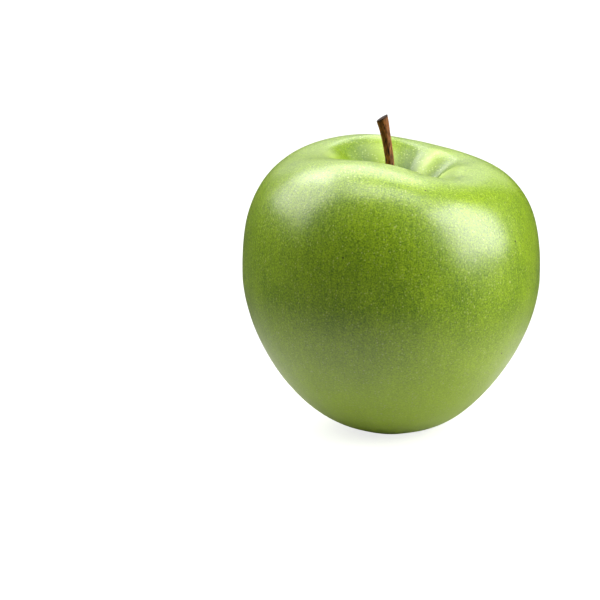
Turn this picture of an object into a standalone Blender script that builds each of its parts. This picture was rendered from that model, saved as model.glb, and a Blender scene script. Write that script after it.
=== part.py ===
"""A whole green apple: the fruit, its woody stem, and the dried calyx in the basin under it.

Units are metres, with +Z up. The fruit stands stem end up on the plane z = 0, with its axis on Z.
Azimuths are in degrees from +X towards +Y. Heights are over the plane that the fruit stands on.
"""

import math

import bmesh
import bpy
from mathutils import Vector

# Fruit, overall
FRUIT_DIAMETER = 0.080
FRUIT_HEIGHT = 0.0744  # mean height of the crown, without the stem
WAIST_HEIGHT = 0.0418  # where the fruit is widest
SHOULDER_FULLNESS = 2.45  # superellipse power of the upper flank: 2 is an ellipse, more is squarer
FLANK_FULLNESS = 1.64  # the same for the lower flank, which tapers to the base

# Stem cavity, the hollow round the stem
CROWN_RADIUS = 0.0192  # radius of the crown, the highest ring of the fruit
CAVITY_DEPTH = 0.0155
CAVITY_FLOOR_POWER = 1.6
CAVITY_WALL_POWER = 1.75

# The crown isn't level: each wave raises it by its height at its azimuth
CROWN_LEAN_HEIGHT = 0.0023  # one side up, the other down
CROWN_LEAN_AZIMUTH = 165.0
CROWN_SADDLE_HEIGHT = 0.0012  # two opposite sides up
CROWN_SADDLE_AZIMUTH = 78.0
CROWN_TREFOIL_HEIGHT = 0.0007  # three sides up
CROWN_TREFOIL_AZIMUTH = 3.0
CROWN_WAVE_FADE = 1.5  # how fast the waves fade down the shoulder

# Ribs: an apple has five carpels, and a soft rib over each, here unevenly spaced
RIB_AZIMUTHS = (-88.0, -12.0, 42.0, 95.0, 178.0)
RIB_HEIGHT = 0.0010  # rise of a rib on the cavity wall, and fall of the furrow beside it
RIB_RING_RADIUS = 0.0130  # where on the cavity wall the ribs are strongest
RIB_SPREAD = 0.0052

# Base: the fruit stands on five low lobes round the calyx basin
BASE_RADIUS = 0.0085  # radius of the ring of lobes
BASE_LOBE_HEIGHT = 0.0005
BASE_LOBE_SPREAD = 0.0050
FOOT_FLAT = 0.00012  # depth by which each lobe is pressed flat where the fruit stands
BASIN_DEPTH = 0.0070
CALYX_TUBE_RADIUS = 0.0030  # at its mouth, in the basin's floor
CALYX_TUBE_LENGTH = 0.0090
CALYX_TUBE_FULLNESS = 0.6

# Stem
STEM_LENGTH = 0.0260  # from the cavity floor to the tip
STEM_RADIUS = 0.00115
STEM_FOOT_RADIUS = 0.00135
STEM_TIP_RADIUS = 0.00145
STEM_FLARE_LENGTH = 0.0040
STEM_FOOT_OFFSET = 0.0003  # of the foot from the fruit's axis, along X
STEM_LEAN = 13.7  # of the tip from upright, towards -X
STEM_CUT_SLANT = 20.0  # of the tip's face from square, rising towards +X
STEM_SOCKET_DEPTH = 0.0050
STEM_RINGS = 18

# Dried calyx
SEPAL_COUNT = 5
SEPAL_LENGTH = 0.0054
SEPAL_WIDTH = 0.0032
SEPAL_THICKNESS = 0.0003
SEPAL_ROOT_SPREAD = 0.0009  # of the root outside the tube's mouth
SEPAL_TAPER = 0.9  # power of the taper from root to tip
SEPAL_TIP_SHARE = 0.08  # of the root's width
SEPAL_CUP = 0.0004  # by which the edges curl in past the middle
SEPAL_SLOPE = 0.78  # drop per length
SEPAL_CURL = 0.0006  # by which the tips curl out past the roots
SEPAL_NECK = 0.43  # how far along its length a sepal comes nearest to the axis
STAMEN_COUNT = 15
STAMEN_RADIUS = 0.00015
STAMEN_BOW = 0.0003
STAMEN_STAGGER = 0.0005  # each third stamen ends this much further up the tube than the one before
ANTHER_RADIUS = 0.00026
STAMEN_ROOT_SHARE = 0.5  # of the way up the tube, where the stamens are fixed
STYLE_COUNT = 5
STYLE_RADIUS = 0.00018
STIGMA_RADIUS = 0.00026
STYLE_RING_RADIUS = 0.0006
STYLE_SPREAD = 0.0002  # by which the styles part towards their stigmas

CLEARANCE = 0.0003  # between pieces that touch on the real fruit

# Mesh density
FRUIT_SEGMENTS = 60
CAVITY_RINGS = 12
SHOULDER_RINGS = 14
FLANK_RINGS = 12
BASIN_RINGS = 7
TUBE_RINGS = 6


def linear(hex_colour):
    """An sRGB colour such as "8FB83A" as linear RGBA."""
    channels = []
    for start in (0, 2, 4):
        value = int(hex_colour[start : start + 2], 16) / 255
        low = value / 12.92
        high = ((value + 0.055) / 1.055) ** 2.4
        channels.append(low if value <= 0.04045 else high)
    return (*channels, 1.0)


def principled(name, hex_colour, roughness):
    """A plain Principled material: nothing on an apple is metallic."""
    material = bpy.data.materials.new(name)
    material.use_nodes = True
    shader = material.node_tree.nodes["Principled BSDF"]
    shader.inputs["Base Color"].default_value = linear(hex_colour)
    shader.inputs["Roughness"].default_value = roughness
    shader.inputs["Metallic"].default_value = 0.0
    return material


# Fruit surface ------------------------------------------------------------------------------


def rib_wave(azimuth):
    """+1 on the crest of each rib and -1 in the middle of each furrow, smooth between."""
    crests = sorted(crest % 360 for crest in RIB_AZIMUTHS)
    crests = [crests[-1] - 360, *crests, crests[0] + 360]
    angle = azimuth % 360
    for low, high in zip(crests, crests[1:]):
        if low <= angle < high:
            return math.cos(math.tau * (angle - low) / (high - low))
    return 1.0


def crown_wave(azimuth):
    """How much higher than its mean the crown is at this azimuth."""
    lean = math.cos(math.radians(azimuth - CROWN_LEAN_AZIMUTH))
    saddle = math.cos(2 * math.radians(azimuth - CROWN_SADDLE_AZIMUTH))
    trefoil = math.cos(3 * math.radians(azimuth - CROWN_TREFOIL_AZIMUTH))
    return CROWN_LEAN_HEIGHT * lean + CROWN_SADDLE_HEIGHT * saddle + CROWN_TREFOIL_HEIGHT * trefoil


def bell(distance, spread):
    """1 where distance is 0, fading to nothing over about twice the spread."""
    return math.exp(-((distance / spread) ** 2))


def cavity_point(way, azimuth):
    """From the middle of the stem cavity's floor (way 0) out to the crown (way 1)."""
    radius = CROWN_RADIUS * way
    height = FRUIT_HEIGHT - CAVITY_DEPTH * (1 - way**CAVITY_FLOOR_POWER) ** CAVITY_WALL_POWER
    height += way * crown_wave(azimuth)
    height += RIB_HEIGHT * rib_wave(azimuth) * bell(radius - RIB_RING_RADIUS, RIB_SPREAD) * way
    return radius, height


def shoulder_point(way, azimuth):
    """From the crown (way 0) out and down to the waist (way 1)."""
    angle = math.pi / 2 * way
    outward = math.sin(angle) ** (2 / SHOULDER_FULLNESS)
    upward = max(0.0, math.cos(angle)) ** (2 / SHOULDER_FULLNESS)
    radius = CROWN_RADIUS + (FRUIT_DIAMETER / 2 - CROWN_RADIUS) * outward
    height = WAIST_HEIGHT + (FRUIT_HEIGHT - WAIST_HEIGHT) * upward
    height += upward**CROWN_WAVE_FADE * crown_wave(azimuth)
    height += RIB_HEIGHT * rib_wave(azimuth) * bell(radius - RIB_RING_RADIUS, RIB_SPREAD)
    return radius, height


def base_lobe(radius, azimuth):
    """How much the furrows between the base lobes lift the skin."""
    furrow = (1 - rib_wave(azimuth)) / 2
    return BASE_LOBE_HEIGHT * furrow * bell(radius - BASE_RADIUS, BASE_LOBE_SPREAD)


def flank_point(way, azimuth):
    """From the waist (way 0) down and in to the base ring (way 1)."""
    angle = math.pi / 2 * way
    outward = max(0.0, math.cos(angle)) ** (2 / FLANK_FULLNESS)
    downward = math.sin(angle) ** (2 / FLANK_FULLNESS)
    radius = BASE_RADIUS + (FRUIT_DIAMETER / 2 - BASE_RADIUS) * outward
    height = WAIST_HEIGHT * (1 - downward) + base_lobe(radius, azimuth)
    return radius, height


def basin_point(way, azimuth):
    """From the base ring (way 0) in and up to the mouth of the calyx tube (way 1)."""
    radius = BASE_RADIUS - (BASE_RADIUS - CALYX_TUBE_RADIUS) * way
    height = BASIN_DEPTH * way * way * (3 - 2 * way) + base_lobe(radius, azimuth)
    return radius, height


def tube_point(way, azimuth):
    """From the mouth of the calyx tube (way 0) up to its closed top (way 1)."""
    radius = CALYX_TUBE_RADIUS * max(0.0, 1 - way * way) ** CALYX_TUBE_FULLNESS
    height = BASIN_DEPTH + CALYX_TUBE_LENGTH * way
    height += base_lobe(CALYX_TUBE_RADIUS, azimuth) * (1 - way)
    return radius, height


SECTIONS = (
    (cavity_point, CAVITY_RINGS),
    (shoulder_point, SHOULDER_RINGS),
    (flank_point, FLANK_RINGS),
    (basin_point, BASIN_RINGS),
    (tube_point, TUBE_RINGS),
)
FRUIT_RINGS = sum(rings for _, rings in SECTIONS)


def placed(radius, height, azimuth):
    """A point of the fruit, lowered so that the lobes' tips can be pressed flat at z = 0."""
    angle = math.radians(azimuth)
    return Vector((radius * math.cos(angle), radius * math.sin(angle), height - FOOT_FLAT))


def skin_point(ring, azimuth):
    """The fruit's surface at a ring, counted from the cavity floor to the calyx tube's top."""
    for section, rings in SECTIONS:
        if ring <= rings:
            radius, height = section(ring / rings, azimuth)
            return placed(radius, height, azimuth)
        ring -= rings
    return placed(0.0, BASIN_DEPTH + CALYX_TUBE_LENGTH, azimuth)


def basin_height(radius, azimuth):
    """Height of the basin's skin at this radius."""
    way = (BASE_RADIUS - radius) / (BASE_RADIUS - CALYX_TUBE_RADIUS)
    return basin_point(min(1.0, way), azimuth)[1] - FOOT_FLAT


def tube_way(radius):
    """How far up the calyx tube its wall has narrowed to this radius."""
    narrowing = min(1.0, radius / CALYX_TUBE_RADIUS)
    return math.sqrt(1 - narrowing ** (1 / CALYX_TUBE_FULLNESS))


# Objects ------------------------------------------------------------------------------------


def add_object(name, data, collection, material=None):
    """A new object for this mesh or curve, in this collection, with its own material."""
    thing = bpy.data.objects.new(name, data)
    collection.objects.link(thing)
    if material is not None:
        data.materials.append(material)
    return thing


def smooth(mesh, sharp_degrees=40.0):
    """Smooth shading, with edges over this angle left sharp."""
    mesh.shade_smooth()
    mesh.set_sharp_from_angle(angle=math.radians(sharp_degrees))


def mesh_from(name, bm):
    """The finished bmesh as mesh data."""
    mesh = bpy.data.meshes.new(name)
    bm.to_mesh(mesh)
    bm.free()
    return mesh


def curve_tube(name, points, radii, sides):
    """A round tube with filled caps along these points, with a radius at each."""
    curve = bpy.data.curves.new(name, "CURVE")
    curve.dimensions = "3D"
    curve.use_fill_caps = True
    curve.bevel_depth = radii[0]
    curve.bevel_resolution = (sides - 4) // 2
    spline = curve.splines.new("POLY")
    spline.points.add(len(points) - 1)
    for control, place, radius in zip(spline.points, points, radii):
        control.co = (*place, 1.0)
        control.radius = radius / radii[0]
    spline.use_smooth = True
    return curve


def cut(piece, cutter):
    """Takes the cutter's volume out of the piece."""
    boolean = piece.modifiers.new(cutter.name, "BOOLEAN")
    boolean.operation = "DIFFERENCE"
    boolean.solver = "EXACT"
    boolean.object = cutter
    cutter.hide_render = True
    cutter.display_type = "WIRE"


def make_fruit(parts, cutters):
    """The fruit: a sphere whose rings are drawn in at both poles, pressed flat where it stands."""
    bm = bmesh.new()
    bmesh.ops.create_uvsphere(bm, u_segments=FRUIT_SEGMENTS, v_segments=FRUIT_RINGS, radius=1.0)
    for vertex in bm.verts:
        x, y, z = vertex.co
        ring = round(math.acos(max(-1.0, min(1.0, z))) / math.pi * FRUIT_RINGS)
        vertex.co = skin_point(ring, math.degrees(math.atan2(y, x)))
    mesh = mesh_from("fruit", bm)
    smooth(mesh)
    fruit = add_object("fruit", mesh, parts, principled("green_skin", "8DB735", 0.32))
    cut(fruit, make_floor_cutter(cutters))
    cut(fruit, make_socket_cutter(cutters))
    return fruit


def make_floor_cutter(cutters):
    """A block with its top at z = 0: it presses the five lobes flat."""
    side = 3 * BASE_RADIUS + FRUIT_DIAMETER / 4
    bm = bmesh.new()
    bmesh.ops.create_cube(bm, size=side)
    block = add_object("floor_cutter", mesh_from("floor_cutter", bm), cutters)
    block.location = (0, 0, -side / 2)
    return block


def cavity_floor():
    """Height of the lowest point of the stem cavity."""
    return skin_point(0, 0.0).z


def make_socket_cutter(cutters):
    """A round plug that opens the socket in which the stem's foot sits."""
    above = STEM_SOCKET_DEPTH
    length = STEM_SOCKET_DEPTH + above
    bm = bmesh.new()
    bmesh.ops.create_cone(
        bm,
        cap_ends=True,
        segments=24,
        radius1=STEM_FOOT_RADIUS + CLEARANCE,
        radius2=STEM_FOOT_RADIUS + CLEARANCE,
        depth=length,
    )
    plug = add_object("socket_cutter", mesh_from("socket_cutter", bm), cutters)
    plug.location = (STEM_FOOT_OFFSET, 0, cavity_floor() - STEM_SOCKET_DEPTH + length / 2)
    return plug


def stem_line():
    """The stem's centre line and radii: upright in its socket, then leaning over more and more."""
    foot = Vector((STEM_FOOT_OFFSET, 0, cavity_floor() - STEM_SOCKET_DEPTH + CLEARANCE))
    in_socket = STEM_SOCKET_DEPTH - CLEARANCE
    points = [foot, foot + Vector((0, 0, in_socket / 2))]
    radii = [STEM_FOOT_RADIUS, STEM_FOOT_RADIUS]
    place = foot + Vector((0, 0, in_socket))
    step = STEM_LENGTH / STEM_RINGS
    for ring in range(STEM_RINGS + 1):
        run = ring * step
        points.append(place.copy())
        foot_swell = (STEM_FOOT_RADIUS - STEM_RADIUS) * math.exp(-run / STEM_FLARE_LENGTH)
        tip_swell = STEM_TIP_RADIUS - STEM_RADIUS
        tip_swell *= math.exp(-(STEM_LENGTH - run) / STEM_FLARE_LENGTH)
        radii.append(STEM_RADIUS + foot_swell + tip_swell)
        lean = math.radians(STEM_LEAN) * (ring + 0.5) / STEM_RINGS
        place += Vector((-math.sin(lean), 0, math.cos(lean))) * step
    return points, radii


def make_stem(parts):
    """The stem: a woody rod with a swollen foot, a flared tip and a slanting cut."""
    points, radii = stem_line()
    curve = curve_tube("stem_line", points, radii, sides=16)
    guide = add_object("stem_line", curve, parts)
    bpy.context.view_layer.update()
    evaluated = guide.evaluated_get(bpy.context.evaluated_depsgraph_get())
    mesh = bpy.data.meshes.new_from_object(evaluated)
    bm = bmesh.new()
    bm.from_mesh(mesh)
    bmesh.ops.remove_doubles(bm, verts=bm.verts, dist=0.000001)
    slant_tip(bm, points[-1], (points[-1] - points[-2]).normalized())
    bm.to_mesh(mesh)
    bm.free()
    smooth(mesh)
    stem = add_object("stem", mesh, parts, principled("stem_bark", "7A4A24", 0.7))
    stem.matrix_world = guide.matrix_world
    bpy.data.objects.remove(guide)
    return stem


def slant_tip(bm, tip, along):
    """Slides the tip's face along the stem so that it rises towards +X."""
    across = Vector((along.z, 0, -along.x))
    slope = math.tan(math.radians(STEM_CUT_SLANT))
    reach = STEM_TIP_RADIUS / 4
    for vertex in bm.verts:
        offset = vertex.co - tip
        if abs(offset.dot(along)) < reach:
            vertex.co += along * offset.dot(across) * slope


def sepal_half_width(way):
    """Half the width of a sepal, which tapers from its root (way 0) to its tip (way 1)."""
    return SEPAL_WIDTH / 2 * max(SEPAL_TIP_SHARE, 1 - way) ** SEPAL_TAPER


def closed_radius(way):
    """How near to the axis the sepals can close before neighbours touch."""
    half_turn = math.pi / SEPAL_COUNT
    half_gap = CLEARANCE / 2 / math.cos(half_turn)
    edge_radius = (sepal_half_width(way) + half_gap) / math.tan(half_turn)
    return edge_radius + SEPAL_CUP * (1 - way) + SEPAL_THICKNESS / 2


def sepal_line(way):
    """A sepal's middle line: its distance from the axis and its drop below its root."""
    root = CALYX_TUBE_RADIUS + SEPAL_ROOT_SPREAD
    closing = math.sin(math.pi / 2 * min(2.0, way / SEPAL_NECK)) ** 2
    curl = SEPAL_CURL * max(0.0, (way - SEPAL_NECK) / (1 - SEPAL_NECK)) ** 2
    return root + (closed_radius(way) - root) * closing + curl, SEPAL_LENGTH * SEPAL_SLOPE * way


def directions(azimuth):
    """Unit vectors outwards and sideways at this azimuth."""
    angle = math.radians(azimuth)
    outward = Vector((math.cos(angle), math.sin(angle), 0))
    sideways = Vector((-math.sin(angle), math.cos(angle), 0))
    return outward, sideways


def make_sepal(index, parts, material):
    """A dried sepal: a pointed scale that closes over the tube's mouth and curls out at its tip."""
    azimuth = 360 / SEPAL_COUNT * index + RIB_AZIMUTHS[0]
    outward, sideways = directions(azimuth)
    root_radius, _ = sepal_line(0.0)
    root_height = basin_height(root_radius, azimuth) - CLEARANCE - SEPAL_THICKNESS
    bm = bmesh.new()
    bmesh.ops.create_grid(bm, x_segments=4, y_segments=10, size=1.0)
    for vertex in bm.verts:
        side, way = vertex.co.x, (vertex.co.y + 1) / 2
        radius, drop = sepal_line(way)
        cup = SEPAL_CUP * side * side * (1 - way)
        place = outward * (radius - cup) + sideways * side * sepal_half_width(way)
        place.z = root_height - drop
        vertex.co = place
    bmesh.ops.recalc_face_normals(bm, faces=bm.faces)
    mesh = mesh_from(f"sepal_{index + 1}", bm)
    mesh.shade_smooth()
    sepal = add_object(f"sepal_{index + 1}", mesh, parts, material)
    skin = sepal.modifiers.new("thickness", "SOLIDIFY")
    skin.thickness = SEPAL_THICKNESS
    skin.offset = 0.0
    return sepal


def make_stamen(index, parts, material):
    """A withered stamen: a thread fixed to the tube's wall, with its anther near the mouth."""
    azimuth = 360 / STAMEN_COUNT * index
    outward, _ = directions(azimuth)
    root_radius, root_height = tube_point(STAMEN_ROOT_SHARE, azimuth)
    root_radius -= CLEARANCE + STAMEN_RADIUS
    end_height = BASIN_DEPTH + STAMEN_STAGGER * (index % 3)
    steps = 7
    points = []
    radii = []
    for step in range(steps + 1):
        way = step / steps
        radius = root_radius - STAMEN_BOW * math.sin(math.pi * way)
        height = root_height + (end_height - root_height) * way
        points.append(outward * radius + Vector((0, 0, height - FOOT_FLAT)))
        radii.append(ANTHER_RADIUS if step >= steps - 1 else STAMEN_RADIUS)
    name = f"stamen_{index + 1:02d}"
    return add_object(name, curve_tube(name, points, radii, sides=8), parts, material)


def make_style(index, parts, material):
    """A withered style: a thread from the tube's top, with its stigma at the mouth."""
    outward, _ = directions(360 * (index + 0.5) / STYLE_COUNT)
    top_way = tube_way(STYLE_RING_RADIUS + STYLE_RADIUS + CLEARANCE)
    top_height = BASIN_DEPTH + CALYX_TUBE_LENGTH * top_way - CLEARANCE
    steps = 8
    points = []
    radii = []
    for step in range(steps + 1):
        way = step / steps
        radius = STYLE_RING_RADIUS + STYLE_SPREAD * way * way
        height = top_height + (BASIN_DEPTH - top_height) * way
        points.append(outward * radius + Vector((0, 0, height - FOOT_FLAT)))
        radii.append(STIGMA_RADIUS if step >= steps - 1 else STYLE_RADIUS)
    name = f"style_{index + 1}"
    return add_object(name, curve_tube(name, points, radii, sides=8), parts, material)


for old in list(bpy.data.objects):
    bpy.data.objects.remove(old)

apple_parts = bpy.data.collections.new("green_apple")
apple_cutters = bpy.data.collections.new("cutters")
for made in (apple_parts, apple_cutters):
    bpy.context.scene.collection.children.link(made)

make_fruit(apple_parts, apple_cutters)
make_stem(apple_parts)
for number in range(SEPAL_COUNT):
    make_sepal(number, apple_parts, principled(f"dried_sepal_{number + 1}", "8C8468", 0.9))
for number in range(STAMEN_COUNT):
    make_stamen(number, apple_parts, principled(f"dried_stamen_{number + 1}", "4A3320", 0.85))
for number in range(STYLE_COUNT):
    make_style(number, apple_parts, principled(f"dried_style_{number + 1}", "5C4327", 0.85))
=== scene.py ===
"""A whole green apple on a white table, under soft studio light.

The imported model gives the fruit, the stem and the dried calyx their places and sizes. Each section
below makes one of them again in fine detail, with its skin, bark or withered tissue.
Units are metres, with +Z up. Azimuths are in degrees from +X towards +Y.
"""

import math

import bmesh
import bpy
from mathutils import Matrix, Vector, noise


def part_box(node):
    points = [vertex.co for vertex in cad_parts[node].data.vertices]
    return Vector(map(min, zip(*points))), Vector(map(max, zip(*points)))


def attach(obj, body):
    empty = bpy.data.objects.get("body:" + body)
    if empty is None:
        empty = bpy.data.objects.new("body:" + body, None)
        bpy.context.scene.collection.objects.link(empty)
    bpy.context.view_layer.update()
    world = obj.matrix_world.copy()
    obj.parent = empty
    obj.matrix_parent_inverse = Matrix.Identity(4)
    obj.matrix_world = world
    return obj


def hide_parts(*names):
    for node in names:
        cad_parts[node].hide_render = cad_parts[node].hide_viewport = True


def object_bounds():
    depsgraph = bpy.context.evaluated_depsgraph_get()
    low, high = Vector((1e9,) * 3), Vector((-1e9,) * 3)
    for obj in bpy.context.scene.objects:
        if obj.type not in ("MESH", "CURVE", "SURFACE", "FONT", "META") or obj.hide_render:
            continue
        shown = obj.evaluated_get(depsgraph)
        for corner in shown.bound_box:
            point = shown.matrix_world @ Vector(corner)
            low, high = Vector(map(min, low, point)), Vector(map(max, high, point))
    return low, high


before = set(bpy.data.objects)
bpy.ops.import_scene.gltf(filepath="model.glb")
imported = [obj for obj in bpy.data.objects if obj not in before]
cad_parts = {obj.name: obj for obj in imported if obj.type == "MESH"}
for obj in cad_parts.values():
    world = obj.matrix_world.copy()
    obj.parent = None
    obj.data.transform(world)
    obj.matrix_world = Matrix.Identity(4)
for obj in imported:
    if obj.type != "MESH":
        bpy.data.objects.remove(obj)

cad_low, cad_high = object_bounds()


# Camera ------------------------------------------------------------------------------------
# A long lens looks slightly down on the fruit, which stands right of the middle of the picture.

CAMERA_ELEVATION = 14.0
CAMERA_DISTANCE = 0.650
LENS = 144.5
AIM_LEFT_OF_FRUIT = 0.0245
AIM_HEIGHT = 0.0348

view_angle = math.radians(CAMERA_ELEVATION)
middle = (cad_low + cad_high) / 2
aim = Vector((middle.x - AIM_LEFT_OF_FRUIT, middle.y, cad_low.z + AIM_HEIGHT))
towards_camera = Vector((0, -math.cos(view_angle), math.sin(view_angle)))

camera_data = bpy.data.cameras.new("camera")
camera_data.lens = LENS
camera_data.sensor_width = 36.0
camera_data.clip_start = 0.05
camera_data.clip_end = 20.0
camera = bpy.data.objects.new("camera", camera_data)
camera.location = aim + towards_camera * CAMERA_DISTANCE
camera.rotation_euler = (-towards_camera).to_track_quat("-Z", "Y").to_euler()
bpy.context.scene.collection.objects.link(camera)
bpy.context.scene.camera = camera
bpy.context.scene.view_settings.view_transform = "Standard"
bpy.context.scene.view_settings.look = "Medium High Contrast"


# Studio light ------------------------------------------------------------------------------
# A wide bank hangs above and behind, with a strip over the front and a weak bank low behind.
# Softboxes stand at the right and, weaker, at the left. No light stands with the camera, so the
# skin that faces it keeps its full green.


def softbox(name, azimuth, elevation, distance, width, height, radiance):
    """A white rectangular light that faces the fruit from this direction."""
    turn, lift = math.radians(azimuth), math.radians(elevation)
    level = math.cos(lift)
    way = Vector((level * math.cos(turn), level * math.sin(turn), math.sin(lift)))
    data = bpy.data.lights.new(name, "AREA")
    data.shape = "RECTANGLE"
    data.size = width
    data.size_y = height
    data.energy = radiance * math.pi * width * height
    lamp = bpy.data.objects.new(name, data)
    lamp.location = middle + way * distance
    lamp.rotation_euler = way.to_track_quat("Z", "Y").to_euler()
    lamp.visible_camera = False
    bpy.context.scene.collection.objects.link(lamp)


softbox(
    "top_bank", azimuth=106, elevation=55, distance=1.1, width=1.20, height=0.74, radiance=2.5
)
softbox(
    "zenith_fill", azimuth=-90, elevation=80, distance=1.1, width=1.00, height=0.50, radiance=2.4
)
softbox(
    "back_bank", azimuth=90, elevation=20, distance=1.6, width=1.60, height=0.50, radiance=0.6
)
softbox(
    "right_softbox", azimuth=-16, elevation=29, distance=0.9, width=0.78, height=0.84, radiance=4.0
)
softbox(
    "left_softbox", azimuth=166, elevation=39, distance=0.95, width=0.90, height=0.78, radiance=2.2
)


def add_node(tree, kind, inputs=None, **settings):
    """Adds a node with its settings. Each input is given a value, or an output to link from."""
    made = tree.nodes.new(kind)
    for setting, value in settings.items():
        setattr(made, setting, value)
    for socket, value in (inputs or {}).items():
        if isinstance(value, bpy.types.NodeSocket):
            tree.links.new(value, made.inputs[socket])
        else:
            made.inputs[socket].default_value = value
    return made


# The room is dark, and paler below where its floor lies. The camera alone sees it white.
studio = bpy.data.worlds.new("studio")
studio.use_nodes = True
studio_room = studio.node_tree.nodes["Background"]
studio_room.inputs["Color"].default_value = (1.0, 1.0, 1.0, 1.0)
direction = add_node(studio.node_tree, "ShaderNodeTexCoord").outputs["Generated"]
height = add_node(studio.node_tree, "ShaderNodeSeparateXYZ", {"Vector": direction}).outputs["Z"]
fade = add_node(
    studio.node_tree,
    "ShaderNodeMapRange",
    {"Value": height, "From Min": -0.85, "From Max": -0.05, "To Min": 0.45, "To Max": 0.05},
    interpolation_type="SMOOTHSTEP",
).outputs["Result"]
# A Mix node for numbers has its factor in socket 0, and its two values in 2 and 3
seen = add_node(studio.node_tree, "ShaderNodeLightPath").outputs["Is Camera Ray"]
brightness = add_node(studio.node_tree, "ShaderNodeMix", {0: seen, 2: fade, 3: 1.0}).outputs[0]
studio.node_tree.links.new(brightness, studio_room.inputs["Strength"])
bpy.context.scene.world = studio


# Table -------------------------------------------------------------------------------------
# A light table: a round sheet of matt white acrylic, lit a little from below as well as from
# above. It bounces light up under the fruit and keeps the shadow pale.

TABLE_RADIUS = 0.10
TABLE_SIDES = 96
TABLE_GLOW = 0.65
TABLE_FADE_START = 0.045
TABLE_FADE_END = 0.098

# The sockets of a Mix node for colours
MIX_FACTOR, MIX_A, MIX_B, MIX_RESULT = 0, 6, 7, 2


def linear(hex_colour):
    """An sRGB colour such as "8FB83A" as linear RGBA."""
    channels = []
    for start in (0, 2, 4):
        value = int(hex_colour[start : start + 2], 16) / 255
        low = value / 12.92
        high = ((value + 0.055) / 1.055) ** 2.4
        channels.append(low if value <= 0.04045 else high)
    return (*channels, 1.0)


def new_material(name, roughness, ior):
    """A material for something that isn't metal, with its shader and its tree."""
    material = bpy.data.materials.new(name)
    material.use_nodes = True
    shader = material.node_tree.nodes["Principled BSDF"]
    shader.inputs["Metallic"].default_value = 0.0
    shader.inputs["Roughness"].default_value = roughness
    shader.inputs["IOR"].default_value = ior
    return material, shader, material.node_tree


# Sanded white acrylic with hardly any gloss. It is painted greyer towards its rim: painted
# shade where less light reaches it.
table_white, table_shader, table_tree = new_material("matt_white_acrylic", roughness=0.9, ior=1.49)
table_place = add_node(table_tree, "ShaderNodeTexCoord").outputs["Object"]
from_middle = add_node(
    table_tree, "ShaderNodeVectorMath", {0: table_place}, operation="LENGTH"
).outputs["Value"]
# The painted shade greys the acrylic from TABLE_FADE_START out to TABLE_FADE_END
painted_rim_shade = add_node(
    table_tree,
    "ShaderNodeMapRange",
    {"Value": from_middle, "From Min": TABLE_FADE_START, "From Max": TABLE_FADE_END},
    interpolation_type="SMOOTHSTEP",
).outputs["Result"]
table_colour = add_node(
    table_tree,
    "ShaderNodeMix",
    {MIX_FACTOR: painted_rim_shade, MIX_A: linear("BEBEBC"), MIX_B: linear("868684")},
    data_type="RGBA",
).outputs[MIX_RESULT]
table_tree.links.new(table_colour, table_shader.inputs["Base Color"])
table_shader.inputs["Specular IOR Level"].default_value = 0.2
table_shader.inputs["Emission Color"].default_value = linear("FFFFFF")
table_rays = add_node(table_tree, "ShaderNodeLightPath").outputs["Is Camera Ray"]
table_glow = add_node(
    table_tree, "ShaderNodeMath", {0: table_rays, 1: TABLE_GLOW}, operation="MULTIPLY"
).outputs[0]
table_tree.links.new(table_glow, table_shader.inputs["Emission Strength"])
bm = bmesh.new()
bmesh.ops.create_circle(bm, cap_ends=True, segments=TABLE_SIDES, radius=TABLE_RADIUS)
table_mesh = bpy.data.meshes.new("table")
bm.to_mesh(table_mesh)
bm.free()
table_mesh.materials.append(table_white)
table = bpy.data.objects.new("table", table_mesh)
table.location.z = cad_low.z
bpy.context.scene.collection.objects.link(table)


# Fruit -------------------------------------------------------------------------------------
# The fruit is one grown piece: firm flesh under a thin green skin with a bloom of natural wax.
# It is widest above its middle. The crown leans, five soft ribs run into the stem cavity, and
# it stands on five low lobes round the calyx basin.

fruit_low, fruit_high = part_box("fruit")
FRUIT_RADIUS = (fruit_high.x - fruit_low.x) / 2
FRUIT_HEIGHT = 0.0744
WAIST_HEIGHT = 0.0418
SHOULDER_FULLNESS = 2.45
FLANK_FULLNESS = 1.64

CROWN_RADIUS = 0.0192
CAVITY_DEPTH = 0.0155
CAVITY_FLOOR_POWER = 1.6
CAVITY_WALL_POWER = 1.75
CROWN_LEAN = (0.0023, 165.0)
CROWN_SADDLE = (0.0012, 78.0)
CROWN_TREFOIL = (0.0007, 3.0)
CROWN_WAVE_FADE = 1.5

RIB_AZIMUTHS = (-88.0, -12.0, 42.0, 95.0, 178.0)
RIB_HEIGHT = 0.0014
RIB_RING_RADIUS = 0.0130
RIB_SPREAD = 0.0052

BASE_RADIUS = 0.0085
BASE_LOBE_HEIGHT = 0.0005
BASE_LOBE_SPREAD = 0.0050
FOOT_FLAT = 0.00012
BASIN_DEPTH = 0.0070
CALYX_TUBE_RADIUS = 0.0030
CALYX_TUBE_LENGTH = 0.0090
CALYX_TUBE_FULLNESS = 0.6

FRUIT_SEGMENTS = 288
SWELL_SIZE = 0.024
SWELL_HEIGHT = 0.00030
DIMPLE_SIZE = 0.007
DIMPLE_HEIGHT = 0.00006
PUCKER_COUNT = 23.0
PUCKER_HEIGHT = 0.00016
PUCKER_LENGTH = 0.004
CAVITY_PUCKER_RADIUS = 0.0045
BASIN_PUCKER_RADIUS = BASE_RADIUS * 0.55
PUCKER_SPREAD = 0.6
COLLAR_RADIUS = 0.0016
COLLAR_SINK = 0.0014

# Where the green is deepest and palest. The deep green of the cavity's hollows is partly painted
# shade, the pale crests of its ribs are a painted highlight, and the paler calyx half is partly
# painted light from below.
HOLLOW_AZIMUTHS = (-50.0, 15.0, 66.0, 121.0, 222.0)
HOLLOW_WIDTH = 21.0
HOLLOW_SPREAD = 0.0150
HOLLOW_DEPTH = 1.2
HOLLOW_BETWEEN = 0.3
HOLLOW_DEEPEST = 0.85
PALE_RIB = 0.6
PALE_WALL = 0.1
PALE_WALL_RADIUS = 0.0140
PALE_WALL_SPREAD = 0.0040
PALE_BASE_FADE = 0.9
STREAK_STRETCH = 0.12

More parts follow.
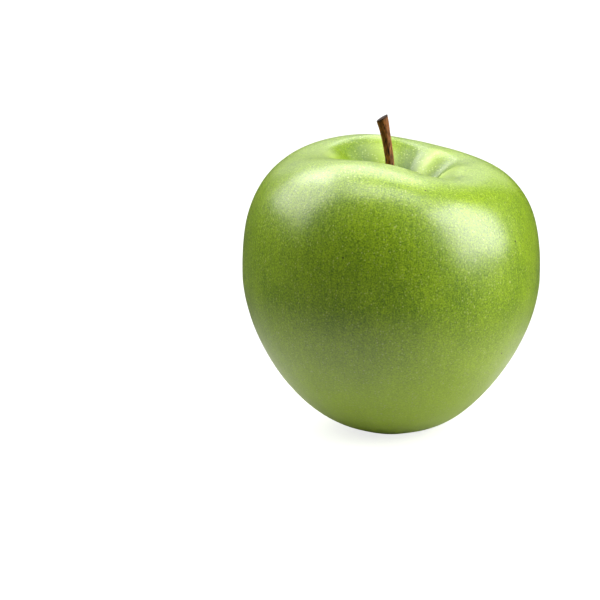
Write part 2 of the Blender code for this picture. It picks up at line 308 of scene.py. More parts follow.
crests = sorted(crest % 360 for crest in RIB_AZIMUTHS)
RIB_CRESTS = [crests[-1] - 360, *crests, crests[0] + 360]


def rib_wave(azimuth):
    """+1 on the crest of each rib and -1 in the middle of each furrow, smooth between."""
    angle = azimuth % 360
    for low, high in zip(RIB_CRESTS, RIB_CRESTS[1:]):
        if low <= angle < high:
            return math.cos(math.tau * (angle - low) / (high - low))
    return 1.0


def crown_wave(azimuth):
    """How much higher than its mean the crown is at this azimuth."""
    height = 0.0
    for order, (wave, crest) in enumerate((CROWN_LEAN, CROWN_SADDLE, CROWN_TREFOIL), start=1):
        height += wave * math.cos(order * math.radians(azimuth - crest))
    return height


def bell(distance, spread):
    """1 where distance is 0, fading to nothing over about twice the spread."""
    return math.exp(-((distance / spread) ** 2))


def rib_rise(radius, azimuth):
    """How much the ribs and furrows lift or sink the skin round the stem cavity."""
    return RIB_HEIGHT * rib_wave(azimuth) * bell(radius - RIB_RING_RADIUS, RIB_SPREAD)


def base_lobe(radius, azimuth):
    """How much the furrows between the base lobes lift the skin."""
    furrow = (1 - rib_wave(azimuth)) / 2
    return BASE_LOBE_HEIGHT * furrow * bell(radius - BASE_RADIUS, BASE_LOBE_SPREAD)


def cavity_point(way, azimuth):
    """From the middle of the stem cavity's floor (way 0) out to the crown (way 1)."""
    radius = CROWN_RADIUS * way
    height = FRUIT_HEIGHT - CAVITY_DEPTH * (1 - way**CAVITY_FLOOR_POWER) ** CAVITY_WALL_POWER
    return radius, height + way * (crown_wave(azimuth) + rib_rise(radius, azimuth))


def shoulder_point(way, azimuth):
    """From the crown (way 0) out and down to the waist (way 1)."""
    angle = math.pi / 2 * way
    outward = math.sin(angle) ** (2 / SHOULDER_FULLNESS)
    upward = max(0.0, math.cos(angle)) ** (2 / SHOULDER_FULLNESS)
    radius = CROWN_RADIUS + (FRUIT_RADIUS - CROWN_RADIUS) * outward
    height = WAIST_HEIGHT + (FRUIT_HEIGHT - WAIST_HEIGHT) * upward
    height += upward**CROWN_WAVE_FADE * crown_wave(azimuth)
    return radius, height + rib_rise(radius, azimuth)


def flank_point(way, azimuth):
    """From the waist (way 0) down and in to the base ring (way 1)."""
    angle = math.pi / 2 * way
    outward = max(0.0, math.cos(angle)) ** (2 / FLANK_FULLNESS)
    downward = math.sin(angle) ** (2 / FLANK_FULLNESS)
    radius = BASE_RADIUS + (FRUIT_RADIUS - BASE_RADIUS) * outward
    return radius, WAIST_HEIGHT * (1 - downward) + base_lobe(radius, azimuth)


def basin_point(way, azimuth):
    """From the base ring (way 0) in and up to the mouth of the calyx tube (way 1)."""
    radius = BASE_RADIUS - (BASE_RADIUS - CALYX_TUBE_RADIUS) * way
    return radius, BASIN_DEPTH * way * way * (3 - 2 * way) + base_lobe(radius, azimuth)


def tube_point(way, azimuth):
    """From the mouth of the calyx tube (way 0) up to its closed top (way 1)."""
    radius = CALYX_TUBE_RADIUS * max(0.0, 1 - way * way) ** CALYX_TUBE_FULLNESS
    lobe = base_lobe(CALYX_TUBE_RADIUS, azimuth) * (1 - way)
    return radius, BASIN_DEPTH + CALYX_TUBE_LENGTH * way + lobe


FRUIT_SECTIONS = (
    (cavity_point, 52),
    (shoulder_point, 72),
    (flank_point, 62),
    (basin_point, 30),
    (tube_point, 16),
)
FRUIT_RINGS = sum(rings for _, rings in FRUIT_SECTIONS)


def skin_point(ring, azimuth):
    """The fruit's surface at a ring, counted from the cavity floor to the calyx tube's top."""
    for section, rings in FRUIT_SECTIONS:
        if ring <= rings:
            radius, height = section(ring / rings, azimuth)
            break
        ring -= rings
    angle = math.radians(azimuth)
    return Vector((radius * math.cos(angle), radius * math.sin(angle), height - FOOT_FLAT))


def pucker(place):
    """Fine pleats that run into the calyx basin and, more weakly, into the stem cavity."""
    angle = math.atan2(place.y, place.x)
    from_axis = place.xy.length
    reach = CAVITY_PUCKER_RADIUS if place.z > WAIST_HEIGHT else BASIN_PUCKER_RADIUS
    pleat = Vector((math.cos(angle), math.sin(angle), 0)) * PUCKER_COUNT / math.tau
    pleat.z = from_axis / PUCKER_LENGTH
    fade = bell(from_axis - reach, reach * PUCKER_SPREAD)
    return noise.noise(pleat) * PUCKER_HEIGHT * fade


def growth(place):
    """How far the skin stands out or in here: slow swellings, shallow dimples and pleats."""
    swell = noise.noise(place / SWELL_SIZE) * SWELL_HEIGHT
    return swell + noise.noise(place / DIMPLE_SIZE) * DIMPLE_HEIGHT + pucker(place)


def deep_green_and_shade(from_axis, azimuth):
    """How deep the green and the painted shade are here in the stem cavity: deepest in the hollows
    between ribs.
    """
    off_hollow = min(abs((azimuth - hollow + 180) % 360 - 180) for hollow in HOLLOW_AZIMUTHS)
    hollow = HOLLOW_BETWEEN + bell(off_hollow, HOLLOW_WIDTH)
    return min(HOLLOW_DEEPEST, HOLLOW_DEPTH * bell(from_axis, HOLLOW_SPREAD) * hollow)


def pale_green_and_highlight(from_axis, azimuth):
    """How pale the skin is painted here round the stem cavity: palest on the crests of the ribs, as
    a painted highlight.
    """
    crest = ((1 + rib_wave(azimuth)) / 2) ** 2
    rib = crest * bell(from_axis - RIB_RING_RADIUS, RIB_SPREAD)
    wall = bell(from_axis - PALE_WALL_RADIUS, PALE_WALL_SPREAD)
    return min(1.0, PALE_RIB * rib + PALE_WALL * wall)


def new_piece(name, bm, material, slot, *nodes):
    """The finished bmesh as a smooth object that stands for these nodes of the model."""
    mesh = bpy.data.meshes.new(name)
    bm.to_mesh(mesh)
    bm.free()
    mesh.shade_smooth()
    mesh.materials.append(material)
    piece = bpy.data.objects.new(name, mesh)
    bpy.context.scene.collection.objects.link(piece)
    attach(piece, "root")
    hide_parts(*nodes)
    return piece


def make_skin():
    """Apple skin: a thin green cuticle over pale flesh, under a thin natural wax.

    The wax gives a soft, broad gloss with a slight grain. The green is deepest in the hollows
    of the stem cavity, partly as painted shade, and palest towards the calyx, partly as
    painted light from below. The crests of the ribs round the cavity are painted paler, as a
    highlight. Faint streaks run from pole to pole. The air pores, called lenticels, show all
    over as fine pale dots, and a few have healed over dark.
    """
    material, shader, tree = new_material("waxed_apple_skin", roughness=0.42, ior=1.50)
    place = add_node(tree, "ShaderNodeTexCoord").outputs["Object"]
    meridian = add_node(tree, "ShaderNodeAttribute", attribute_name="meridian").outputs["Vector"]
    hollow = add_node(tree, "ShaderNodeAttribute", attribute_name="hollow").outputs["Fac"]
    pale = add_node(tree, "ShaderNodeAttribute", attribute_name="pale").outputs["Fac"]

    # Clouds of lighter and darker green about 10 mm across, and mottling of about 0.4 mm
    clouds = add_node(
        tree,
        "ShaderNodeTexNoise",
        {"Vector": place, "Scale": 1 / 0.010, "Detail": 3.0, "Roughness": 0.6},
    ).outputs["Fac"]
    mottle = add_node(
        tree,
        "ShaderNodeTexNoise",
        {"Vector": place, "Scale": 1 / 0.00040, "Detail": 1.0, "Roughness": 0.6},
    ).outputs["Fac"]
    # Streaks about 1.2 mm wide along the meridians
    streaks = add_node(
        tree,
        "ShaderNodeTexNoise",
        {"Vector": meridian, "Scale": 1 / 0.0012, "Detail": 2.0, "Roughness": 0.6},
    ).outputs["Fac"]

    tone = add_node(
        tree, "ShaderNodeMath", {0: clouds, 1: 0.45}, operation="MULTIPLY"
    ).outputs[0]
    tone = add_node(
        tree, "ShaderNodeMath", {0: mottle, 1: 1.5, 2: tone}, operation="MULTIPLY_ADD"
    ).outputs[0]
    tone = add_node(
        tree, "ShaderNodeMath", {0: streaks, 1: 0.35, 2: tone}, operation="MULTIPLY_ADD"
    ).outputs[0]
    tone = add_node(
        tree, "ShaderNodeMapRange", {"Value": tone, "From Min": 0.80, "From Max": 1.50}
    ).outputs["Result"]
    green = add_node(
        tree,
        "ShaderNodeMix",
        {MIX_FACTOR: tone, MIX_A: linear("6C9208"), MIX_B: linear("BADA28")},
        data_type="RGBA",
    ).outputs[MIX_RESULT]

    # The hollows are a deeper, warmer green, partly the skin's own and partly painted shade.
    # The rib crests round the cavity are painted paler, as a highlight. The calyx half is paler
    # and yellower, partly its own tone and partly painted light from below.
    # 386002 is the hollows' deeper green, partly the skin's own and partly painted shade
    green = add_node(
        tree,
        "ShaderNodeMix",
        {MIX_FACTOR: hollow, MIX_A: green, MIX_B: linear("386002")},
        data_type="RGBA",
    ).outputs[MIX_RESULT]
    # Painted highlight on the rib crests; the calyx half paler, partly painted light from below
    paling_and_light = add_node(
        tree, "ShaderNodeMath", {0: pale, 1: 0.85}, operation="MULTIPLY"
    ).outputs[0]
    green = add_node(
        tree,
        "ShaderNodeMix",
        {MIX_FACTOR: paling_and_light, MIX_A: green, MIX_B: linear("D0EC44")},
        data_type="RGBA",
    ).outputs[MIX_RESULT]

    # Fine lenticels, 0.4 mm wide and about 0.8 mm apart, and larger ones, 0.6 mm and 3 mm.
    # The real fine ones are about half as wide, and are drawn coarser so that they show.
    raised = None
    fine_pores = (0.0008, 0.00030, 0.00008, 0.90)
    large_pores = (0.0030, 0.00040, 0.00016, 0.80)
    for spacing, rim, core, share in (fine_pores, large_pores):
        pores = add_node(tree, "ShaderNodeTexVoronoi", {"Vector": place, "Scale": 1 / spacing})
        spot = add_node(
            tree,
            "ShaderNodeMapRange",
            {
                "Value": pores.outputs["Distance"],
                "From Min": rim / spacing,
                "From Max": core / spacing,
            },
            interpolation_type="SMOOTHSTEP",
        ).outputs["Result"]
        chance = add_node(
            tree, "ShaderNodeSeparateColor", {"Color": pores.outputs["Color"]}
        ).outputs["Red"]
        chance = add_node(
            tree,
            "ShaderNodeMapRange",
            {"Value": chance, "From Min": 0.10, "From Max": 0.95, "To Max": share},
        ).outputs["Result"]
        spot = add_node(
            tree, "ShaderNodeMath", {0: spot, 1: chance}, operation="MULTIPLY"
        ).outputs[0]
        green = add_node(
            tree,
            "ShaderNodeMix",
            {MIX_FACTOR: spot, MIX_A: green, MIX_B: linear("CFDF86")},
            data_type="RGBA",
        ).outputs[MIX_RESULT]
        if raised is None:
            raised = spot
        else:
            raised = add_node(
                tree, "ShaderNodeMath", {0: raised, 1: spot}, operation="ADD"
            ).outputs[0]

    # Healed pores, 0.5 mm wide and about 7 mm apart. Six in ten of them are dark.
    scars = add_node(tree, "ShaderNodeTexVoronoi", {"Vector": place, "Scale": 1 / 0.007})
    scar = add_node(
        tree,
        "ShaderNodeMapRange",
        {"Value": scars.outputs["Distance"], "From Min": 0.050, "From Max": 0.026},
    ).outputs["Result"]
    scarred = add_node(
        tree, "ShaderNodeSeparateColor", {"Color": scars.outputs["Color"]}
    ).outputs["Green"]
    scarred = add_node(
        tree, "ShaderNodeMapRange", {"Value": scarred, "From Min": 0.35, "From Max": 0.45}
    ).outputs["Result"]
    scar = add_node(tree, "ShaderNodeMath", {0: scar, 1: scarred}, operation="MULTIPLY").outputs[0]
    green = add_node(
        tree,
        "ShaderNodeMix",
        {MIX_FACTOR: scar, MIX_A: green, MIX_B: linear("3E4210")},
        data_type="RGBA",
    ).outputs[MIX_RESULT]
    tree.links.new(green, shader.inputs["Base Color"])

    # The bloom of the wax is patchy, so the gloss varies over about 3 mm
    bloom = add_node(
        tree, "ShaderNodeTexNoise", {"Vector": place, "Scale": 1 / 0.003, "Detail": 3.0}
    ).outputs["Fac"]
    gloss = add_node(
        tree,
        "ShaderNodeMapRange",
        {"Value": bloom, "From Min": 0.3, "From Max": 0.7, "To Min": 0.36, "To Max": 0.50},
    ).outputs["Result"]
    tree.links.new(gloss, shader.inputs["Roughness"])

    # The skin's grain is about 1 mm wide and a few hundredths of a millimetre high
    grain = add_node(
        tree,
        "ShaderNodeTexNoise",
        {"Vector": place, "Scale": 1 / 0.0011, "Detail": 3.0, "Roughness": 0.6},
    ).outputs["Fac"]
    relief = add_node(
        tree, "ShaderNodeMath", {0: raised, 1: 0.35, 2: grain}, operation="MULTIPLY_ADD"
    ).outputs[0]
    bump = add_node(
        tree, "ShaderNodeBump", {"Height": relief, "Strength": 0.6, "Distance": 0.00006}
    ).outputs["Normal"]
    tree.links.new(bump, shader.inputs["Normal"])

    # The wax is even, but thinner deep in the hollows of the cavity. Its index is set above the
    # 1.45 of real wax, so that the softboxes show in it as brightly as they should.
    wax = add_node(
        tree, "ShaderNodeMath", {0: hollow, 1: -0.7, 2: 1.0}, operation="MULTIPLY_ADD"
    ).outputs[0]
    tree.links.new(wax, shader.inputs["Coat Weight"])
    shader.inputs["Coat Roughness"].default_value = 0.30
    shader.inputs["Coat IOR"].default_value = 1.8
    tree.links.new(bump, shader.inputs["Coat Normal"])
    # Light goes up to 4 mm into the pale flesh, blue light the least, and softens the shading
    shader.inputs["Subsurface Weight"].default_value = 0.15
    shader.inputs["Subsurface Radius"].default_value = (1.0, 0.9, 0.25)
    shader.inputs["Subsurface Scale"].default_value = 0.004
    return material


bm = bmesh.new()
bmesh.ops.create_uvsphere(bm, u_segments=FRUIT_SEGMENTS, v_segments=FRUIT_RINGS, radius=1.0)
hollow_layer = bm.verts.layers.float.new("hollow")
pale_layer = bm.verts.layers.float.new("pale")
meridian_layer = bm.verts.layers.float_vector.new("meridian")
for vertex in bm.verts:
    x, y, z = vertex.co
    ring = round(math.acos(max(-1.0, min(1.0, z))) / math.pi * FRUIT_RINGS)
    azimuth = math.atan2(y, x)
    vertex.co = skin_point(ring, math.degrees(azimuth))
    from_axis = vertex.co.xy.length
    if vertex.co.z > WAIST_HEIGHT:
        vertex.co.z -= COLLAR_SINK * bell(from_axis, COLLAR_RADIUS) ** 4
        # Painted shade in the cavity's hollows, and a painted highlight on the crests of its ribs
        vertex[hollow_layer] = deep_green_and_shade(from_axis, math.degrees(azimuth))
        vertex[pale_layer] = pale_green_and_highlight(from_axis, math.degrees(azimuth))
    else:
        # Paler towards the calyx, partly the skin's own tone and partly painted light from below
        vertex[pale_layer] = (1 - vertex.co.z / WAIST_HEIGHT) ** PALE_BASE_FADE
    round_axis = Vector((math.cos(azimuth), math.sin(azimuth), 0)) * FRUIT_RADIUS
    vertex[meridian_layer] = round_axis + Vector((0, 0, vertex.co.z * STREAK_STRETCH))
bm.normal_update()
for vertex in bm.verts:
    vertex.co += vertex.normal * growth(vertex.co)
crown_top = max(vertex.co.z for vertex in bm.verts)
for vertex in bm.verts:
    vertex.co.z = max(0.0, vertex.co.z * fruit_high.z / crown_top)
new_piece("apple_fruit", bm, make_skin(), "skin", "fruit")


# Stem --------------------------------------------------------------------------------------
# The stem is a woody stalk, snapped off the spur at its thicker end and browned as it dried.
# Its foot grows out of the floor of the cavity, and it leans over more and more.

stem_low, stem_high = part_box("stem")
STEM_LENGTH = 0.0260
STEM_RADIUS = 0.00115
STEM_FOOT_RADIUS = 0.00135
STEM_TIP_RADIUS = (stem_high.y - stem_low.y) / 2
STEM_FLARE_LENGTH = 0.0040
STEM_LEAN = 13.7
STEM_CUT_SLANT = 20.0
STEM_FOOT_OFFSET = stem_high.x - STEM_FOOT_RADIUS
STEM_RINGS = 180
STEM_SIDES = 56
STEM_CUT_RINGS = 7
STEM_CUT_REACH = 0.0022
STEM_CUT_SINK = 0.00022
STEM_CUT_GRAIN = 0.0005
STEM_CUT_ROUGHNESS = 0.00008
STEM_BREAK_SWELL = 0.00014
STEM_BREAK_LENGTH = 0.0030
BARK_RIDGE_HEIGHT = 0.00010
BARK_KNOT_HEIGHT = 0.00006
# The side of the stalk that faces the softbox at the right is painted tan, as painted light
LIT_SIDE_TURN = 0.35
LIT_SIDE_FOCUS = 1.2
FIBRE_STRETCH = 0.16


def stem_radius(run):
    """The stalk's radius at this run above the cavity floor: thicker at its foot and its tip."""
    foot_swell = (STEM_FOOT_RADIUS - STEM_RADIUS) * math.exp(-max(0.0, run) / STEM_FLARE_LENGTH)
    tip_swell = (STEM_TIP_RADIUS - STEM_RADIUS) * math.exp((run - STEM_LENGTH) / STEM_FLARE_LENGTH)
    break_swell = STEM_BREAK_SWELL * bell(STEM_LENGTH - run, STEM_BREAK_LENGTH)
    return STEM_RADIUS + foot_swell + tip_swell + break_swell


def bark_height(angle, run):
    """How far the bark stands out here: ridges that run along the stalk, and small knots."""
    circle = Vector((math.cos(angle), math.sin(angle), 0))
    ridge = noise.noise(circle * 2.2 + Vector((0, 0, run / 0.009)))
    fine = noise.noise(circle * 5.0 + Vector((3, 1, run / 0.004)))
    knot = noise.noise(circle * 1.1 + Vector((7, 5, run / 0.0016)))
    return BARK_RIDGE_HEIGHT * (ridge + 0.5 * fine) + BARK_KNOT_HEIGHT * knot


def make_bark():
    """Dried stalk bark: thin, fibrous and matt.

    It is red-brown with tan streaks along it, flecked with near-black, and darkest where it was
    broken off. On the side that faces the softbox at the right, its streaks are painted tan, as
    painted light.
    """
    material, shader, tree = new_material("dried_stalk_bark", roughness=0.62, ior=1.5)
    along = add_node(tree, "ShaderNodeAttribute", attribute_name="along").outputs["Vector"]
    tip = add_node(tree, "ShaderNodeAttribute", attribute_name="tip").outputs["Fac"]
    lit_side = add_node(tree, "ShaderNodeAttribute", attribute_name="lit_side").outputs["Fac"]

    # Fibres about 0.3 mm wide, and patches of about 1.2 mm
    fibres = add_node(
        tree,
        "ShaderNodeTexNoise",
        {"Vector": along, "Scale": 1 / 0.00030, "Detail": 3.0, "Roughness": 0.65},
    ).outputs["Fac"]
    patches = add_node(
        tree, "ShaderNodeTexNoise", {"Vector": along, "Scale": 1 / 0.0012, "Detail": 2.0}
    ).outputs["Fac"]
    tone = add_node(
        tree, "ShaderNodeMath", {0: patches, 1: 0.8, 2: fibres}, operation="MULTIPLY_ADD"
    ).outputs[0]
    tone = add_node(
        tree, "ShaderNodeMapRange", {"Value": tone, "From Min": 0.68, "From Max": 1.12}
    ).outputs["Result"]
    brown = add_node(
        tree,
        "ShaderNodeMix",
        {MIX_FACTOR: tone, MIX_A: linear("44200C"), MIX_B: linear("AC6832")},
        data_type="RGBA",
    ).outputs[MIX_RESULT]
    streak = add_node(
        tree, "ShaderNodeMath", {0: fibres, 1: 1.6, 2: -0.55}, operation="MULTIPLY_ADD"
    ).outputs[0]
    # Tan streaks on the side that faces the right softbox: painted light on that side
    tan_and_lit_side = add_node(
        tree, "ShaderNodeMath", {0: lit_side, 1: streak}, operation="MULTIPLY", use_clamp=True
    ).outputs[0]
    brown = add_node(
        tree,
        "ShaderNodeMix",
        {MIX_FACTOR: tan_and_lit_side, MIX_A: brown, MIX_B: linear("CC9660")},
        data_type="RGBA",
    ).outputs[MIX_RESULT]

    # Near-black flecks, about 0.3 mm wide and drawn out along the stalk, and the dark broken tip
    flecks = add_node(
        tree, "ShaderNodeTexNoise", {"Vector": along, "Scale": 1 / 0.00032, "Detail": 1.0}
    ).outputs["Fac"]
    fleck = add_node(
        tree, "ShaderNodeMapRange", {"Value": flecks, "From Min": 0.56, "From Max": 0.66}
    ).outputs["Result"]
    brown = add_node(
        tree,
        "ShaderNodeMix",
        {MIX_FACTOR: fleck, MIX_A: brown, MIX_B: linear("2A1206")},
        data_type="RGBA",
    ).outputs[MIX_RESULT]
    brown = add_node(
        tree,
        "ShaderNodeMix",
        {MIX_FACTOR: tip, MIX_A: brown, MIX_B: linear("2B2018")},
        data_type="RGBA",
    ).outputs[MIX_RESULT]
    tree.links.new(brown, shader.inputs["Base Color"])
    bump = add_node(
        tree, "ShaderNodeBump", {"Height": fibres, "Strength": 0.8, "Distance": 0.00012}
    ).outputs["Normal"]
    tree.links.new(bump, shader.inputs["Normal"])
    return material


bm = bmesh.new()
tip_layer = bm.verts.layers.float.new("tip")
lit_side_layer = bm.verts.layers.float.new("lit_side")
along_layer = bm.verts.layers.float_vector.new("along")
floor_height = skin_point(0, 0.0).z
buried = floor_height - stem_low.z
centre = Vector((STEM_FOOT_OFFSET, 0, stem_low.z))
step = (STEM_LENGTH + buried) / STEM_RINGS
rings = []
for ring in range(STEM_RINGS + 1):
    run = ring * step - buried
    lean = math.radians(STEM_LEAN) * max(0.0, run) / STEM_LENGTH
    along = Vector((-math.sin(lean), 0, math.cos(lean)))
    across = Vector((math.cos(lean), 0, math.sin(lean)))
    near_cut = max(0.0, 1 - (STEM_LENGTH - run) / STEM_CUT_REACH)
    made = []
    for side in range(STEM_SIDES):
        angle = math.tau * side / STEM_SIDES
        out = across * math.cos(angle) + Vector((0, 1, 0)) * math.sin(angle)
        vertex = bm.verts.new(centre + out * (stem_radius(run) + bark_height(angle, run)))
        slope = math.tan(math.radians(STEM_CUT_SLANT)) * STEM_TIP_RADIUS * math.cos(angle)
        vertex.co += along * slope * near_cut
        vertex[tip_layer] = 0.9 * near_cut**3
        # How much this side faces the softbox at the right, where light is painted tan
        vertex[lit_side_layer] = max(0.0, math.cos(angle + LIT_SIDE_TURN)) ** LIT_SIDE_FOCUS
        circle = Vector((math.cos(angle), math.sin(angle), 0)) * STEM_RADIUS
        vertex[along_layer] = circle + Vector((0, 0, run * FIBRE_STRETCH))
        made.append(vertex)
    rings.append(made)
    centre = centre + along * step
centre = sum((vertex.co for vertex in rings[-1]), Vector()) / STEM_SIDES
for inner in range(1, STEM_CUT_RINGS + 1):
    way = inner / (STEM_CUT_RINGS + 1)
    made = []
    for outer in rings[STEM_RINGS]:
        vertex = bm.verts.new(outer.co.lerp(centre, way))
        rough = noise.noise(vertex.co / STEM_CUT_GRAIN) * STEM_CUT_ROUGHNESS
        vertex.co -= along * (STEM_CUT_SINK * min(1.0, way * 3) + rough)
        vertex[tip_layer] = 1.0 - 0.35 * way
        vertex[along_layer] = vertex.co
        made.append(vertex)
    rings.append(made)
for low_ring, high_ring in zip(rings, rings[1:]):
    for side in range(STEM_SIDES):
        after = (side + 1) % STEM_SIDES
        bm.faces.new((low_ring[side], low_ring[after], high_ring[after], high_ring[side]))
bm.faces.new(reversed(rings[0]))
bm.faces.new(rings[-1])
new_piece("woody_stem", bm, make_bark(), "bark", "stem")


# Sepals ------------------------------------------------------------------------------------
# Five dried sepals, what is left of the flower, close over the mouth of the calyx tube. Each is
# a crumpled, pointed scale of thin downy tissue, rooted in the skin round the mouth.

SEPAL_COUNT = 5
SEPAL_LENGTH = 0.0054
SEPAL_WIDTH = 0.0032
SEPAL_THICKNESS = 0.0002
SEPAL_ROOT_SPREAD = 0.0009
SEPAL_TAPER = 0.9
SEPAL_TIP_SHARE = 0.08
SEPAL_CUP = 0.0004
SEPAL_SLOPE = 0.78
SEPAL_CURL = 0.0006
SEPAL_NECK = 0.43
SEPAL_SPACING = 0.0003
SEPAL_CRUMPLE = 0.00016
SEPAL_COLUMNS = 18
SEPAL_ROWS = 40
DOWN_PER_SEPAL = 90
DOWN_LENGTH = 0.00085
DOWN_RADIUS = 0.00002
DOWN_DROOP = 0.9


def sepal_half_width(way):
    """Half the width of a sepal, which tapers from its root (way 0) to its tip (way 1)."""
    return SEPAL_WIDTH / 2 * max(SEPAL_TIP_SHARE, 1 - way) ** SEPAL_TAPER


def sepal_radius(way):
    """A sepal's distance from the axis: in over the mouth, then out again at its curled tip."""
    half_turn = math.pi / SEPAL_COUNT
    gap = SEPAL_SPACING / 2 / math.cos(half_turn)
    closed = (sepal_half_width(way) + gap) / math.tan(half_turn)
    closed += SEPAL_CUP * (1 - way) + SEPAL_SPACING / 2
    root = CALYX_TUBE_RADIUS + SEPAL_ROOT_SPREAD
    closing = math.sin(math.pi / 2 * min(2.0, way / SEPAL_NECK)) ** 2
    curl = SEPAL_CURL * max(0.0, (way - SEPAL_NECK) / (1 - SEPAL_NECK)) ** 2
    return root + (closed - root) * closing + curl


SEPAL_ROOTS = [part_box(f"sepal_{index + 1}")[1].z for index in range(SEPAL_COUNT)]


def sepal_point(index, side, way):
    """A point of a sepal: side runs from -1 to 1 across it, and way from its root to its tip."""
    angle = math.radians(RIB_AZIMUTHS[0] + 360 / SEPAL_COUNT * index)
    outward = Vector((math.cos(angle), math.sin(angle), 0))
    sideways = Vector((-math.sin(angle), math.cos(angle), 0))
    cup = SEPAL_CUP * side * side * (1 - way)
    place = outward * (sepal_radius(way) - cup) + sideways * side * sepal_half_width(way)
    place.z = SEPAL_ROOTS[index] - SEPAL_LENGTH * SEPAL_SLOPE * way
    crumple = noise.noise(Vector((side * 1.6, way * 5.0, index * 7.0)))
    crumple += 0.5 * noise.noise(Vector((side * 4.0, way * 11.0, index * 7.0 + 3.0)))
    return place + outward * crumple * SEPAL_CRUMPLE * (0.3 + way)


def add_thread(bm, points, radii, sides):
    """A thin closed tube through these points, with a radius at each."""
    reference = (points[-1] - points[0]).orthogonal().normalized()
    rings = []
    for index, (point, radius) in enumerate(zip(points, radii)):
        along = points[min(len(points) - 1, index + 1)] - points[max(0, index - 1)]
        across = along.cross(reference).normalized()
        up = across.cross(along).normalized()
        ring = []
        for side in range(sides):
            angle = math.tau * side / sides
            out = across * math.cos(angle) + up * math.sin(angle)
            ring.append(bm.verts.new(point + out * radius))
        rings.append(ring)
    for low_ring, high_ring in zip(rings, rings[1:]):
        for side in range(sides):
            after = (side + 1) % sides
            bm.faces.new((low_ring[side], low_ring[after], high_ring[after], high_ring[side]))
    bm.faces.new(reversed(rings[0]))
    bm.faces.new(rings[-1])


def make_withered(name, dark, light, roughness, spacing, relief):
    """Withered flower tissue: dry, papery and matt, in patches of two browns.

    The patches have this spacing, and the wrinkles between them this relief.
    """
    material, shader, tree = new_material(name, roughness=roughness, ior=1.45)
    place = add_node(tree, "ShaderNodeTexCoord").outputs["Object"]
    patches = add_node(
        tree,
        "ShaderNodeTexNoise",
        {"Vector": place, "Scale": 1 / spacing, "Detail": 4.0, "Roughness": 0.65},
    ).outputs["Fac"]
    tone = add_node(
        tree, "ShaderNodeMapRange", {"Value": patches, "From Min": 0.35, "From Max": 0.65}
    ).outputs["Result"]
    brown = add_node(
        tree,
        "ShaderNodeMix",
        {MIX_FACTOR: tone, MIX_A: linear(dark), MIX_B: linear(light)},
        data_type="RGBA",
    ).outputs[MIX_RESULT]
    tree.links.new(brown, shader.inputs["Base Color"])
    bump = add_node(
        tree, "ShaderNodeBump", {"Height": patches, "Strength": 0.8, "Distance": relief}
    ).outputs["Normal"]
    tree.links.new(bump, shader.inputs["Normal"])
    shader.inputs["Sheen Weight"].default_value = 0.25
    return material


# Dried sepal tissue is grey-green where it is still thick, and tan where it has dried right out
sepal_tissue = make_withered("dried_sepal_tissue", "5E5A34", "A89A72", 0.88, 0.0009, 0.00010)
for index in range(SEPAL_COUNT):
    bm = bmesh.new()
    rows = []
    for row in range(SEPAL_ROWS + 1):
        way = row / SEPAL_ROWS
        sides = [2 * column / SEPAL_COLUMNS - 1 for column in range(SEPAL_COLUMNS + 1)]
        rows.append([bm.verts.new(sepal_point(index, side, way)) for side in sides])
    for upper, lower in zip(rows, rows[1:]):
        for column in range(SEPAL_COLUMNS):
            bm.faces.new((upper[column], upper[column + 1], lower[column + 1], lower[column]))
    bmesh.ops.solidify(bm, geom=bm.faces[:], thickness=SEPAL_THICKNESS)
    bmesh.ops.recalc_face_normals(bm, faces=bm.faces[:])
    # Hairs of down stand all over the outside. The place and bend of each follow its number.
    for hair in range(DOWN_PER_SEPAL):
        spread = Vector([math.sin(hair * turn + index) for turn in (1.7, 3.1, 4.3)])
        side = 0.9 * math.sin(hair * 2.4)
        way = 0.06 + 0.9 * (hair + 0.5) / DOWN_PER_SEPAL
        root = sepal_point(index, side, way)
        lean = (Vector((root.x, root.y, 0)).normalized() - Vector((0, 0, DOWN_DROOP))).normalized()
        middle_point = root + (lean + spread * 0.25) * DOWN_LENGTH * 0.5
        end = root + (lean + spread * 0.6) * DOWN_LENGTH
        add_thread(bm, [root, middle_point, end], [DOWN_RADIUS, DOWN_RADIUS, DOWN_RADIUS / 3], 3)
    new_piece(f"calyx_sepal_{index + 1}", bm, sepal_tissue, "dried_sepal", f"sepal_{index + 1}")


# Stamens -----------------------------------------------------------------------------------
# Fifteen withered stamens stand in the calyx tube. Each is a thread fixed half way up the
# tube's wall, with a split, empty anther at its free end near the mouth.

STAMEN_COUNT = 15
STAMEN_RADIUS = 0.00013
STAMEN_WAVE = 0.00008
STAMEN_BOW = 0.0003
STAMEN_ROOT_INSET = 0.00045
ANTHER_RADIUS = 0.00026
ANTHER_SHARE = 0.16
THREAD_STEPS = 26

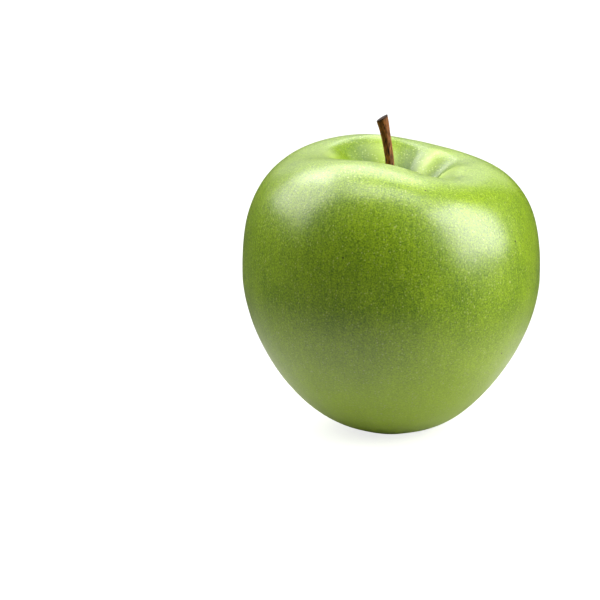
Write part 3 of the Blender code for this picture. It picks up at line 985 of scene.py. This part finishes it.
# Withered filaments look nearly black in the depth of the tube, with patches of warm brown
withered_filament = make_withered("withered_filament", "2E1D10", "6E4C2C", 0.82, 0.0006, 0.00006)
for index in range(STAMEN_COUNT):
    angle = math.tau * index / STAMEN_COUNT
    outward = Vector((math.cos(angle), math.sin(angle), 0))
    node = f"stamen_{index + 1:02d}"
    node_low, node_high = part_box(node)
    root_radius = tube_point(0.5, 0.0)[0] - STAMEN_ROOT_INSET
    points, radii = [], []
    for step in range(THREAD_STEPS + 1):
        way = step / THREAD_STEPS
        height = node_high.z + (node_low.z - node_high.z) * way
        wave = noise.noise(Vector((index * 5.0, way * 4.0, 0))) * STAMEN_WAVE
        bow = STAMEN_BOW * math.sin(math.pi * way) - wave
        points.append(outward * (root_radius - bow) + Vector((0, 0, height)))
        anther = bell(way - (1 - ANTHER_SHARE / 2), ANTHER_SHARE / 2)
        thread = STAMEN_RADIUS * (1 - 0.25 * way)
        radii.append(thread + (ANTHER_RADIUS - thread) * anther)
    radii[-1] = STAMEN_RADIUS / 2
    bm = bmesh.new()
    add_thread(bm, points, radii, 10)
    new_piece(f"withered_{node}", bm, withered_filament, "dried_stamen", node)


# Styles ------------------------------------------------------------------------------------
# Five withered styles hang in the middle of the calyx tube, from the core down to the mouth.
# They part a little towards their ends, which are the rough, knobbed stigmas.

STYLE_COUNT = 5
STYLE_RADIUS = 0.00016
STIGMA_RADIUS = 0.00027
STYLE_RING_RADIUS = 0.0006
STYLE_SPREAD = 0.0002

# Withered styles look thicker than the stamens round them, and a shade paler
withered_style = make_withered("withered_style", "3C2716", "7D5C36", 0.85, 0.0007, 0.00006)
for index in range(STYLE_COUNT):
    angle = math.tau * (index + 0.5) / STYLE_COUNT
    outward = Vector((math.cos(angle), math.sin(angle), 0))
    node = f"style_{index + 1}"
    node_low, node_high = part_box(node)
    points, radii = [], []
    for step in range(THREAD_STEPS + 1):
        way = step / THREAD_STEPS
        height = node_high.z + (node_low.z - node_high.z) * way
        wave = noise.noise(Vector((index * 9.0, way * 3.0, 4.0))) * STAMEN_WAVE
        points.append(outward * (STYLE_RING_RADIUS + STYLE_SPREAD * way * way + wave))
        points[-1].z = height
        radii.append(STYLE_RADIUS + (STIGMA_RADIUS - STYLE_RADIUS) * bell(way - 0.96, 0.05))
    bm = bmesh.new()
    add_thread(bm, points, radii, 10)
    new_piece(f"withered_{node}", bm, withered_style, "dried_style", node)
